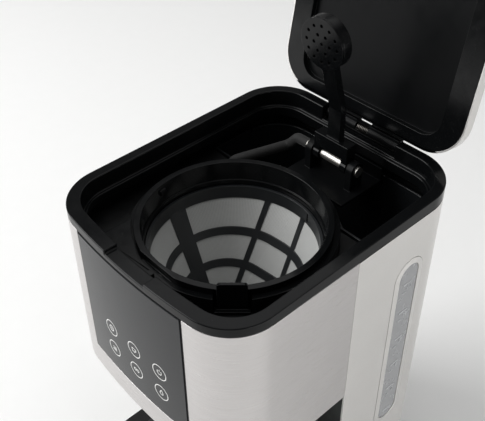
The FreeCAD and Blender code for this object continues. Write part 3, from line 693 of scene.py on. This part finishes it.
class BREWER_OT_touch_panel(bpy.types.Operator):
    """Touch panel with its trim and printed icons"""

    bl_idname = "brewer.touch_panel"
    bl_label = "Touch panel"

    def execute(self, context):
        sizes = context.scene.brewer_sizes
        remade("panel_glazing", "control_panel", panel_film(), sizes.fine_edge)
        remade("panel_frame", "panel_trim", textured_abs())
        finished("control_board", circuit_board())
        finished("display_module", textured_abs())
        self.print_icons(sizes)
        return {"FINISHED"}

    def print_icons(self, sizes):
        low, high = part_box("touch_icons")
        columns = [low.x + ICON_RADIUS, 0.0, high.x - ICON_RADIUS]
        columns[1] = columns[0] + ICON_MIDDLE
        rows = [high.z - ICON_RADIUS, low.z + ICON_RADIUS]
        line = bpy.data.curves.new("icon_lines", "CURVE")
        line.dimensions = "3D"
        line.bevel_depth = sizes.icon_line / 2
        line.bevel_resolution = 1
        centres = [(x, z) for z in rows for x in columns]
        for (x, z), sign in zip(centres, icon_signs()):
            outline = [ring_points(ICON_RADIUS / MM - ICON_INSET, steps=48)]
            for points in outline + sign:
                spline = line.splines.new("POLY")
                spline.points.add(len(points) - 1)
                for point, (u, v) in zip(spline.points, points):
                    point.co = (x + u * MM, 0.0, z + v * MM, 1.0)
        drawn = bpy.data.objects.new("icon_lines", line)
        bm = bmesh.new()
        bm.from_mesh(bpy.data.meshes.new_from_object(drawn))
        bpy.data.objects.remove(drawn)
        bmesh.ops.scale(bm, vec=(1.0, PRINT_FLATNESS, 1.0), verts=bm.verts)
        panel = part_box("control_panel")[0].y
        for vertex in bm.verts:
            vertex.co.y += panel + PANEL_BOW - math.sqrt(PANEL_BOW**2 - vertex.co.x**2)
        piece = placed("touch_icon_print", bm, body_of("touch_icons"), white_print())
        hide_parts("touch_icons")


class BREWER_OT_gauge(bpy.types.Operator):
    """Water gauge: bezel, smoked window and raised scale"""

    bl_idname = "brewer.gauge"
    bl_label = "Water gauge"

    def execute(self, context):
        sizes = context.scene.brewer_sizes
        self.surround()
        remade("gauge_pane", "gauge_window", smoked_window(), sizes.fine_edge)
        # the raised marks are painted lighter than the window: a painted highlight
        remade("gauge_scale", "gauge_marks", raised_mark_painted_highlight())
        self.number(sizes)
        return {"FINISHED"}

    def surround(self):
        """Raised frame round the window: a slope outside, a narrow ridge, and a wall down to the window."""
        low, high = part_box("gauge_bezel")
        pane_low, pane_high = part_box("gauge_window")
        outer = (high.y - low.y) / 2
        inner = (pane_high.y - pane_low.y) / 2 - PANE_FLANGE
        middle = (low + high) / 2
        reach = (high.z - low.z) / 2 - outer
        bm = bmesh.new()
        loops = []
        for half, x in (
            (outer, low.x),
            (outer, high.x - SLOPE_RISE),
            (inner + RIDGE_WIDTH, high.x - 0.1 * MM),
            (inner + RIDGE_WIDTH * 0.7, high.x),
            (inner + 0.3 * MM, high.x),
            (inner, high.x - 0.3 * MM),
            (inner, low.x),
        ):
            turn = Matrix.Translation((x, middle.y, middle.z)) @ Matrix.Rotation(math.radians(90), 4, "Y")
            made = bmesh.ops.create_circle(bm, segments=64, radius=half, matrix=turn)["verts"]
            for vertex in made:
                vertex.co.z += math.copysign(reach, vertex.co.z - middle.z)
            members = set(made)
            loops.append([e for e in bm.edges if all(v in members for v in e.verts)])
        for first, second in zip(loops, loops[1:] + loops[:1]):
            bmesh.ops.bridge_loops(bm, edges=first + second)
        bmesh.ops.recalc_face_normals(bm, faces=bm.faces)
        piece = placed("gauge_surround", bm, body_of("gauge_bezel"), silver_paint())
        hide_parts("gauge_bezel")

    def number(self, sizes):
        """Numbers beside the long marks, as thin raised figures."""
        low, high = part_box("gauge_marks")
        bm = bmesh.new()
        for step in range(5):
            text = bpy.data.curves.new("numeral", "FONT")
            text.body = str(10 - 2 * step)
            text.size = sizes.numeral
            text.extrude = NUMERAL_DEPTH
            text.align_x = text.align_y = "CENTER"
            drawn = bpy.data.objects.new("numeral", text)
            mesh = bpy.data.meshes.new_from_object(drawn)
            turn = Matrix.Rotation(math.radians(90), 4, "Z") @ Matrix.Rotation(math.radians(90), 4, "X")
            z = high.z - NUMERAL_STEP * step - NUMERAL_DROP
            mesh.transform(Matrix.Translation((high.x - NUMERAL_DEPTH, high.y - NUMERAL_INSET, z)) @ turn)
            bm.from_mesh(mesh)
            bpy.data.objects.remove(drawn)
        # the numbers take the marks' painted-highlight colour
        placed("gauge_numbers", bm, "machine", raised_mark_painted_highlight())


class BREWER_OT_deck(bpy.types.Operator):
    """Deck round the brewing well, with the tank behind it"""

    bl_idname = "brewer.deck"
    bl_label = "Brewing deck"

    def execute(self, context):
        sizes = context.scene.brewer_sizes
        remade("corner_deck", "brew_deck", polished_abs(), sizes.edge)
        remade("well_wall", "brew_well", polished_abs(), sizes.fine_edge)
        remade("well_seat", "basket_seat", polished_abs(), sizes.fine_edge)
        remade("head_shelf", "well_shelf", textured_abs(), sizes.edge)
        remade("tank", "water_tank", tank_plastic(), sizes.edge)
        finished("tank_seat", textured_abs())
        finished("check_valve", valve_plastic())
        finished("feed_hose", silicone())
        remade("riser", "riser_hose", rubber())
        return {"FINISHED"}


class BREWER_OT_water_arm(bpy.types.Operator):
    """Swinging water arm with its shower head and pivot"""

    bl_idname = "brewer.water_arm"
    bl_label = "Water arm"

    def execute(self, context):
        sizes = context.scene.brewer_sizes
        remade("arm_moulding", "water_arm", polished_abs(), sizes.edge)
        remade("shower_head", "shower_plate", polished_abs(), sizes.fine_edge)
        remade("arm_support", "arm_bracket", recess_abs(), sizes.edge)
        remade("pivot_pipe", "pivot_tube", pivot_steel(), sizes.fine_edge)
        return {"FINISHED"}


class BREWER_OT_lid(bpy.types.Operator):
    """Lid skin, glossy underside, hinge leaf, pin and spring"""

    bl_idname = "brewer.lid"
    bl_label = "Lid and hinge"

    def execute(self, context):
        sizes = context.scene.brewer_sizes
        cover = remade("lid_cover", "lid_skin", silver_paint(), sizes.fine_edge)
        self.black_lip(cover)
        underside = remade("lid_underside", "lid_liner", polished_abs(), sizes.edge, 3)
        self.recess_finish(underside)
        # a black web behind the spring stands in for the shade there
        self.shade_web()
        remade("hinge_leaf", "lid_leaf", recess_abs(), sizes.edge)
        remade("hinge_rod", "hinge_pin", spring_steel(), sizes.fine_edge)
        remade("hinge_spring", "lid_spring", spring_steel())
        remade("leaf_fixings", "leaf_screws", spring_steel(), sizes.fine_edge)
        return {"FINISHED"}

    def black_lip(self, cover):
        """The lid cover's lip is black where its faces point towards -y, below a set height above the hinge
        pin.
        """
        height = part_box("hinge_pin")[1].z + BLACK_LIP_HEIGHT
        cover.data.materials.append(recess_abs())
        bm = bmesh.new()
        bm.from_mesh(cover.data)
        whole = list(bm.verts) + list(bm.edges) + list(bm.faces)
        bmesh.ops.bisect_plane(bm, geom=whole, dist=1e-6, plane_co=(0, 0, height), plane_no=(0, 0, 1))
        for face in bm.faces:
            if face.normal.y < -0.1 and face.calc_center_median().z < height:
                face.material_index = 1
        bm.to_mesh(cover.data)
        bm.free()

    def shade_web(self):
        """Curved black web behind the hinge spring, a dark sheet standing in for the shade there, so the leaf
        looks whole.
        """
        spring_low, spring_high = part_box("lid_spring")
        pin_low, pin_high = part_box("hinge_pin")
        pin = (pin_low + pin_high) / 2
        bm = bmesh.new()
        corners = []
        for x, radius in (
            (spring_low.x - SHADE_WEB_OVERLAP, SHADE_WEB_INNER),
            (spring_high.x + SHADE_WEB_OVERLAP, SHADE_WEB_INNER),
            (spring_high.x + SHADE_WEB_OVERLAP, SHADE_WEB_OUTER),
            (spring_low.x - SHADE_WEB_OVERLAP, SHADE_WEB_OUTER),
        ):
            turn = Matrix.Rotation(math.radians(SHADE_WEB_START), 4, "X")
            corners.append(bm.verts.new(Vector((x, pin.y, pin.z)) + turn @ Vector((0.0, radius, 0.0))))
        section = bm.faces.new(corners)
        turn = math.radians(SHADE_WEB_TURN)
        bmesh.ops.spin(bm, geom=[section], cent=pin, axis=(1, 0, 0), angle=turn, steps=16, use_merge=False)
        bmesh.ops.recalc_face_normals(bm, faces=bm.faces)
        placed("spring_shade_web", bm, body_of("lid_leaf"), recess_abs())

    def recess_finish(self, underside):
        """The recess floor, the widest flat of the lid's underside, is left finely textured."""
        underside.data.materials.append(recess_abs())
        floor = max(underside.data.polygons, key=lambda face: face.area if face.normal.y < -0.5 else 0.0)
        floor.material_index = 1


class BREWER_OT_basket(bpy.types.Operator):
    """Brew basket with its drip valve"""

    bl_idname = "brewer.basket"
    bl_label = "Brew basket"

    def execute(self, context):
        sizes = context.scene.brewer_sizes
        remade("basket_moulding", "brew_basket", polished_abs(), sizes.edge, 3)
        finished("valve_cage", valve_plastic())
        finished("drip_valve", valve_plastic())
        finished("valve_seal", silicone())
        finished("drip_spring", bright_steel())
        return {"FINISHED"}


class BREWER_OT_filter(bpy.types.Operator):
    """Permanent filter: moulded frame and woven mesh"""

    bl_idname = "brewer.filter"
    bl_label = "Filter"

    def execute(self, context):
        sizes = context.scene.brewer_sizes
        edge = sizes.fine_edge
        remade("filter_moulding", "filter_frame", filter_plastic(), edge, flat=0.01)
        self.weave()
        return {"FINISHED"}

    def weave(self):
        """The cloth funnel, with a thread map that runs round it and up it."""
        piece = remade("filter_cloth", "filter_mesh", woven_nylon(), flat=0.01)
        low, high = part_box("filter_mesh")
        centre = (low + high) / 2
        middle = (high.x - low.x) / 3
        bm = bmesh.new()
        bm.from_mesh(piece.data)
        threads = bm.loops.layers.uv.new("threads")
        for face in bm.faces:
            away = face.calc_center_median() - centre
            base = math.atan2(away.y, away.x)
            flat = abs(face.normal.z) > 0.95
            for loop in face.loops:
                at = loop.vert.co - centre
                if flat:
                    loop[threads].uv = (at.x, at.y)
                    continue
                angle = math.atan2(at.y, at.x)
                angle += 2 * math.pi * round((base - angle) / (2 * math.pi))
                loop[threads].uv = (angle * middle, loop.vert.co.z - low.z)
        bm.to_mesh(piece.data)
        bm.free()


class BREWER_OT_carafe(bpy.types.Operator):
    """Glass jug with its band, handle and lid"""

    bl_idname = "brewer.carafe"
    bl_label = "Carafe"

    def execute(self, context):
        sizes = context.scene.brewer_sizes
        remade("jug_glass", "carafe_glass", borosilicate())
        remade("jug_band", "carafe_band", brushed_steel(), sizes.sheet_edge)
        remade("jug_handle", "carafe_handle", textured_abs(), sizes.edge)
        remade("jug_lid", "carafe_lid", polished_abs(), sizes.edge)
        return {"FINISHED"}


class BREWER_OT_stage(bpy.types.Operator):
    """Pale floor, soft lights and the camera"""

    bl_idname = "brewer.stage"
    bl_label = "Stage"

    def execute(self, context):
        stage = context.scene.brewer_stage
        self.floor(stage)
        self.lights(stage)
        self.camera(stage)
        return {"FINISHED"}

    def floor(self, stage):
        bm = bmesh.new()
        bmesh.ops.create_grid(bm, x_segments=2, y_segments=2, size=stage.floor_size / 2)
        mesh = bpy.data.meshes.new("floor")
        bm.to_mesh(mesh)
        bm.free()
        mesh.materials.append(floor_paint())
        floor = bpy.data.objects.new("floor", mesh)
        bpy.context.scene.collection.objects.link(floor)

    def softbox(self, name, power, size, place, aim):
        light = bpy.data.lights.new(name, "AREA")
        light.shape = "RECTANGLE"
        light.size, light.size_y = size
        light.energy = power
        lamp = bpy.data.objects.new(name, light)
        lamp.location = place
        lamp.rotation_mode = "QUATERNION"
        lamp.rotation_quaternion = (Vector(place) - Vector(aim)).to_track_quat("Z", "Y")
        bpy.context.scene.collection.objects.link(lamp)

    def lights(self, stage):
        """A soft key at the front left, a low side light, an overhead light and the room."""
        self.softbox("key_softbox", stage.key_power, *KEY_BOX)
        self.softbox("side_softbox", stage.side_power, *SIDE_BOX)
        self.softbox("top_softbox", stage.top_power, *TOP_BOX)
        world = bpy.data.worlds.new("room")
        world.use_nodes = True
        background = world.node_tree.nodes["Background"]
        background.inputs["Color"].default_value = linear("FFFFFF")
        background.inputs["Strength"].default_value = stage.room
        bpy.context.scene.world = world
        bpy.context.scene.view_settings.view_transform = "Standard"

    def camera(self, stage):
        turn, lift, roll = (math.radians(a) for a in CAMERA_ANGLES)
        back = Vector((math.sin(turn) * math.cos(lift), -math.cos(turn) * math.cos(lift), math.sin(lift)))
        level = Vector((math.cos(turn), math.sin(turn), 0.0))
        up = back.cross(level)
        right = level * math.cos(roll) + up * math.sin(roll)
        up = back.cross(right)
        data = bpy.data.cameras.new("camera")
        data.lens = stage.lens
        data.sensor_width = 36.0
        data.shift_x, data.shift_y = CAMERA_SHIFT
        camera = bpy.data.objects.new("camera", data)
        camera.matrix_world = Matrix.Translation(CAMERA_PLACE) @ Matrix((right, up, back)).transposed().to_4x4()
        bpy.context.scene.collection.objects.link(camera)
        bpy.context.scene.camera = camera


PIECES = (
    BREWER_OT_base,
    BREWER_OT_heater,
    BREWER_OT_housing,
    BREWER_OT_rim,
    BREWER_OT_touch_panel,
    BREWER_OT_gauge,
    BREWER_OT_deck,
    BREWER_OT_water_arm,
    BREWER_OT_lid,
    BREWER_OT_basket,
    BREWER_OT_filter,
    BREWER_OT_carafe,
    BREWER_OT_stage,
)


class BREWER_PT_panel(bpy.types.Panel):
    """Sizes, colours and pieces of the coffee maker"""

    bl_idname = "BREWER_PT_panel"
    bl_label = "Coffee maker"
    bl_space_type = "VIEW_3D"
    bl_region_type = "UI"
    bl_category = "Coffee maker"

    def draw(self, context):
        layout = self.layout
        for group in (context.scene.brewer_sizes, context.scene.brewer_colours, context.scene.brewer_stage):
            box = layout.box()
            for name in group.__annotations__:
                box.prop(group, name)
        for piece in PIECES:
            layout.operator(piece.bl_idname)


GROUPS = {"brewer_colours": BrewerColours, "brewer_sizes": BrewerSizes, "brewer_stage": BrewerStage}


def register():
    for name, group in GROUPS.items():
        bpy.utils.register_class(group)
        setattr(bpy.types.Scene, name, PointerProperty(type=group))
    for piece in (*PIECES, BREWER_PT_panel):
        bpy.utils.register_class(piece)


def unregister():
    for piece in (BREWER_PT_panel, *reversed(PIECES)):
        bpy.utils.unregister_class(piece)
    for name, group in GROUPS.items():
        delattr(bpy.types.Scene, name)
        bpy.utils.unregister_class(group)


def main():
    register()
    for piece in PIECES:
        getattr(bpy.ops.brewer, piece.bl_idname.split(".")[1])()
    bpy.context.view_layer.update()


if __name__ == "__main__":
    main()
